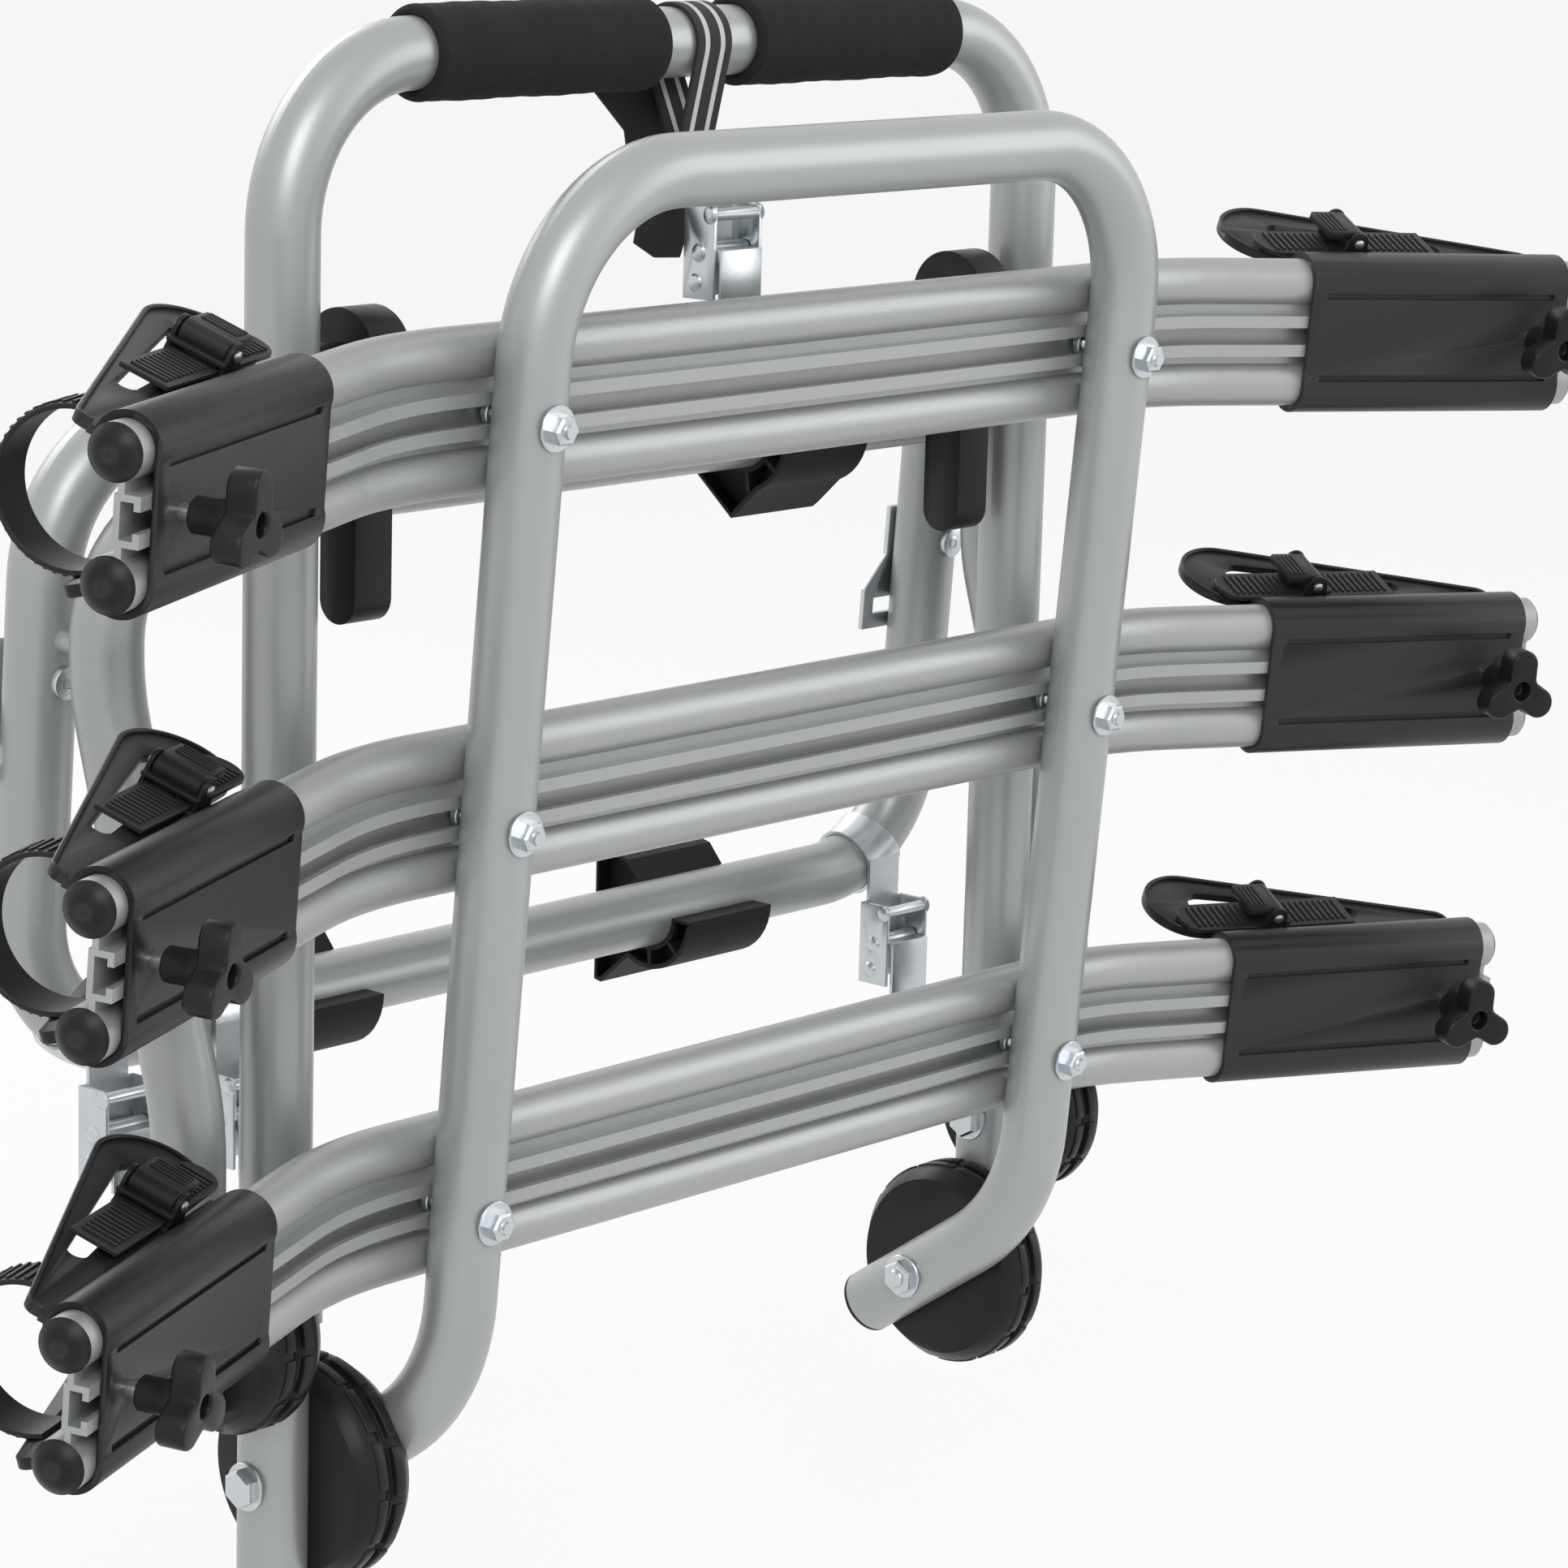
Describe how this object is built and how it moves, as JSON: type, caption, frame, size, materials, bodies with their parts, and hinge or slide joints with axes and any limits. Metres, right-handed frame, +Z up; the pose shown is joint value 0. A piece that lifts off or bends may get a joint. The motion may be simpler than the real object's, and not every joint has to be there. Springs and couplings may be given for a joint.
{
  "type": "trunk mounted bike rack",
  "caption": "Folding tube-frame bike rack for a car's tail, with bent wheel rails, sliding strap wheel holders, toothed fold hinges and a padded bumper frame.",
  "frame": {"origin": "on the platform's hinge axis, midway between the two main legs", "axes": "+X along the wheel rails, +Y to the car, +Z up the main legs"},
  "size_m": [1.0734, 0.3794, 0.758],
  "materials": {
    "silver_paint": "satin silver paint",
    "rail_alloy": "satin silver",
    "black_plastic": "moulded black",
    "strap_plastic": "flexible black",
    "pad_rubber": "soft black",
    "foam": "fine black foam",
    "zinc_steel": "zinc plated",
    "webbing": "woven webbing"
  },
  "bodies": {
    "main": {"main_frame": "silver_paint", "foam_grips": "foam", "main_caps": "black_plastic", "leg_blocks": "black_plastic", "platform_hinge_fixed": "black_plastic", "support_hinge_fixed": "black_plastic", "hinge_bolts": "zinc_steel", "top_strap": "webbing", "top_buckle": "zinc_steel"},
    "platform": {"platform_frame": "silver_paint", "platform_caps": "black_plastic", "platform_hinge_moving": "black_plastic", "rail_bottom": "rail_alloy", "rail_middle": "rail_alloy", "rail_top": "rail_alloy", "rail_bolts": "zinc_steel", "rail_plugs": "black_plastic"},
    "support": {"support_frame": "silver_paint", "bumper_frame": "silver_paint", "support_hinge_moving": "black_plastic", "bumper_pads": "pad_rubber", "anchor_plates": "zinc_steel", "side_hangers": "zinc_steel", "side_buckles": "zinc_steel"},
    "top_cam": {"top_buckle_lever": "zinc_steel"},
    "side_cam_1": {"side_lever_1": "zinc_steel"},
    "side_cam_2": {"side_lever_2": "zinc_steel"},
    "side_cam_3": {"side_lever_3": "zinc_steel"},
    "holder_bottom_left": {"holder_bottom_left": "black_plastic", "strap_bottom_left": "strap_plastic", "buckle_bottom_left": "black_plastic"},
    "knob_bottom_left": {"knob_bottom_left": "black_plastic"},
    "lever_bottom_left": {"lever_bottom_left": "black_plastic"},
    "holder_bottom_right": {"holder_bottom_right": "black_plastic", "strap_bottom_right": "strap_plastic", "buckle_bottom_right": "black_plastic"},
    "knob_bottom_right": {"knob_bottom_right": "black_plastic"},
    "lever_bottom_right": {"lever_bottom_right": "black_plastic"},
    "holder_middle_left": {"holder_middle_left": "black_plastic", "strap_middle_left": "strap_plastic", "buckle_middle_left": "black_plastic"},
    "knob_middle_left": {"knob_middle_left": "black_plastic"},
    "lever_middle_left": {"lever_middle_left": "black_plastic"},
    "holder_middle_right": {"holder_middle_right": "black_plastic", "strap_middle_right": "strap_plastic", "buckle_middle_right": "black_plastic"},
    "knob_middle_right": {"knob_middle_right": "black_plastic"},
    "lever_middle_right": {"lever_middle_right": "black_plastic"},
    "holder_top_left": {"holder_top_left": "black_plastic", "strap_top_left": "strap_plastic", "buckle_top_left": "black_plastic"},
    "knob_top_left": {"knob_top_left": "black_plastic"},
    "lever_top_left": {"lever_top_left": "black_plastic"},
    "holder_top_right": {"holder_top_right": "black_plastic", "strap_top_right": "strap_plastic", "buckle_top_right": "black_plastic"},
    "knob_top_right": {"knob_top_right": "black_plastic"},
    "lever_top_right": {"lever_top_right": "black_plastic"}
  },
  "joints": [
    {"name": "platform_fold", "type": "hinge", "parent": "main", "child": "platform", "pos_m": [0, 0, 0], "axis": [1, 0, 0], "range_deg": [0, 85]},
    {"name": "support_swing", "type": "hinge", "parent": "main", "child": "support", "pos_m": [0, 0, 0.08], "axis": [-1, 0, 0], "range_deg": [0, 75]},
    {"name": "top_cam_press", "type": "hinge", "parent": "main", "child": "top_cam", "pos_m": [0, -0.0278, 0.579], "axis": [-1, 0, 0], "range_deg": [0, 50]},
    {"name": "side_cam_1_press", "type": "hinge", "parent": "support", "child": "side_cam_1", "pos_m": [-0.29, 0.08962, 0.15981], "axis": [-1, 0, 0], "range_deg": [0, 50]},
    {"name": "side_cam_2_press", "type": "hinge", "parent": "support", "child": "side_cam_2", "pos_m": [-0.207, 0.0902, 0.151], "axis": [-1, 0, 0], "range_deg": [0, 50]},
    {"name": "side_cam_3_press", "type": "hinge", "parent": "support", "child": "side_cam_3", "pos_m": [0.29, 0.08962, 0.15981], "axis": [-1, 0, 0], "range_deg": [0, 50]},
    {"name": "slide_bottom_left", "type": "slide", "parent": "platform", "child": "holder_bottom_left", "axis": [0.9272, 0.3733, 0.0307], "range_m": [0, 0.018]},
    {"name": "turn_knob_bottom_left", "type": "hinge", "parent": "holder_bottom_left", "child": "knob_bottom_left", "pos_m": [-0.4943, -0.14994, 0.13366], "axis": [0.3746, -0.9241, -0.076], "continuous": true},
    {"name": "lift_lever_bottom_left", "type": "hinge", "parent": "holder_bottom_left", "child": "lever_bottom_left", "pos_m": [-0.4161, -0.0783, 0.19049], "axis": [0.3548, -0.849, -0.3915], "range_deg": [0, 60]},
    {"name": "slide_bottom_right", "type": "slide", "parent": "platform", "child": "holder_bottom_right", "axis": [-0.9272, 0.3733, 0.0307], "range_m": [0, 0.018]},
    {"name": "turn_knob_bottom_right", "type": "hinge", "parent": "holder_bottom_right", "child": "knob_bottom_right", "pos_m": [0.4943, -0.14994, 0.13366], "axis": [-0.3746, -0.9241, -0.076], "continuous": true},
    {"name": "lift_lever_bottom_right", "type": "hinge", "parent": "holder_bottom_right", "child": "lever_bottom_right", "pos_m": [0.4161, -0.0783, 0.19049], "axis": [0.3548, 0.849, 0.3915], "range_deg": [0, 60]},
    {"name": "slide_middle_left", "type": "slide", "parent": "platform", "child": "holder_middle_left", "axis": [0.9272, 0.3733, 0.0307], "range_m": [0, 0.018]},
    {"name": "turn_knob_middle_left", "type": "hinge", "parent": "holder_middle_left", "child": "knob_middle_left", "pos_m": [-0.4943, -0.16563, 0.32452], "axis": [0.3746, -0.9241, -0.076], "continuous": true},
    {"name": "lift_lever_middle_left", "type": "hinge", "parent": "holder_middle_left", "child": "lever_middle_left", "pos_m": [-0.4161, -0.09399, 0.38135], "axis": [0.3548, -0.849, -0.3915], "range_deg": [0, 60]},
    {"name": "slide_middle_right", "type": "slide", "parent": "platform", "child": "holder_middle_right", "axis": [-0.9272, 0.3733, 0.0307], "range_m": [0, 0.018]},
    {"name": "turn_knob_middle_right", "type": "hinge", "parent": "holder_middle_right", "child": "knob_middle_right", "pos_m": [0.4943, -0.16563, 0.32452], "axis": [-0.3746, -0.9241, -0.076], "continuous": true},
    {"name": "lift_lever_middle_right", "type": "hinge", "parent": "holder_middle_right", "child": "lever_middle_right", "pos_m": [0.4161, -0.09399, 0.38135], "axis": [0.3548, 0.849, 0.3915], "range_deg": [0, 60]},
    {"name": "slide_top_left", "type": "slide", "parent": "platform", "child": "holder_top_left", "axis": [0.9272, 0.3733, 0.0307], "range_m": [0, 0.018]},
    {"name": "turn_knob_top_left", "type": "hinge", "parent": "holder_top_left", "child": "knob_top_left", "pos_m": [-0.4943, -0.18133, 0.51538], "axis": [0.3746, -0.9241, -0.076], "continuous": true},
    {"name": "lift_lever_top_left", "type": "hinge", "parent": "holder_top_left", "child": "lever_top_left", "pos_m": [-0.4161, -0.10968, 0.5722], "axis": [0.3548, -0.849, -0.3915], "range_deg": [0, 60]},
    {"name": "slide_top_right", "type": "slide", "parent": "platform", "child": "holder_top_right", "axis": [-0.9272, 0.3733, 0.0307], "range_m": [0, 0.018]},
    {"name": "turn_knob_top_right", "type": "hinge", "parent": "holder_top_right", "child": "knob_top_right", "pos_m": [0.4943, -0.18133, 0.51538], "axis": [-0.3746, -0.9241, -0.076], "continuous": true},
    {"name": "lift_lever_top_right", "type": "hinge", "parent": "holder_top_right", "child": "lever_top_right", "pos_m": [0.4161, -0.10968, 0.5722], "axis": [0.3548, 0.849, 0.3915], "range_deg": [0, 60]}
  ]
}
